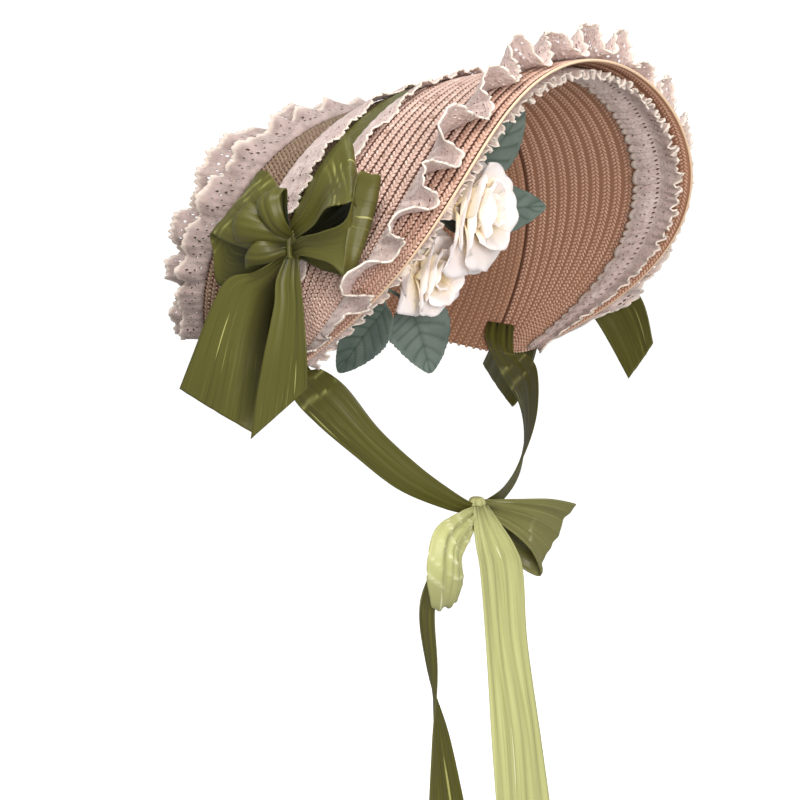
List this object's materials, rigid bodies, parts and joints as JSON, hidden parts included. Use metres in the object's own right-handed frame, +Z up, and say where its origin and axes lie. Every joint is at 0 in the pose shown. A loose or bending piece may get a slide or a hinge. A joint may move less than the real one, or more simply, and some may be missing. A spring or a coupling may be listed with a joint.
{
  "type": "straw bonnet",
  "caption": "Straw bonnet with a deep arched brim, lace frills, satin ribbon bows, fabric flowers inside the brim and ribbon ties in a bow.",
  "frame": {"origin": "inside top of the crown, a little behind the band, where the bonnet is held up", "axes": "+Z up, -Y towards the open front of the brim, +X towards the wearer's left"},
  "size_m": [0.3145, 0.2927, 0.5404],
  "materials": {
    "straw_plait": "sewn straw plait, matt with a little gloss along the strands",
    "satin_ribbon": "olive green satin, soft crumples",
    "cotton_lace": "off-white eyelet lace, matt",
    "petal_cloth": "cream petal fabric, matt",
    "leaf_cloth": "grey-green stiffened leaf fabric, matt"
  },
  "bodies": {
    "root": {"crown": "straw_plait", "brim": "straw_plait", "crown_band": "satin_ribbon", "band_frill_back": "cotton_lace", "band_frill_front": "cotton_lace", "brim_ruffle": "cotton_lace", "brim_facing": "cotton_lace", "back_frill_outer": "cotton_lace", "back_frill_inner": "cotton_lace", "bow_right_knot": "satin_ribbon", "bow_right_loop_back": "satin_ribbon", "bow_right_loop_upper": "satin_ribbon", "bow_right_loop_front": "satin_ribbon", "bow_right_tail_back": "satin_ribbon", "bow_right_tail_front": "satin_ribbon", "bow_right_puff": "satin_ribbon", "bow_left_knot": "satin_ribbon", "bow_left_loop_back": "satin_ribbon", "bow_left_loop_front": "satin_ribbon", "bow_left_tail_back": "satin_ribbon", "bow_left_tail_far": "satin_ribbon", "chin_knot": "satin_ribbon", "chin_loop_right": "satin_ribbon", "chin_loop_left": "satin_ribbon", "chin_tail_front": "satin_ribbon", "chin_tail_rear": "satin_ribbon", "tie_right": "satin_ribbon", "tie_left": "satin_ribbon", "flower_upper": "petal_cloth", "flower_lower": "petal_cloth", "leaf_upper": "leaf_cloth", "leaf_middle": "leaf_cloth", "leaf_lower": "leaf_cloth", "leaf_left": "leaf_cloth"}
  },
  "joints": []
}
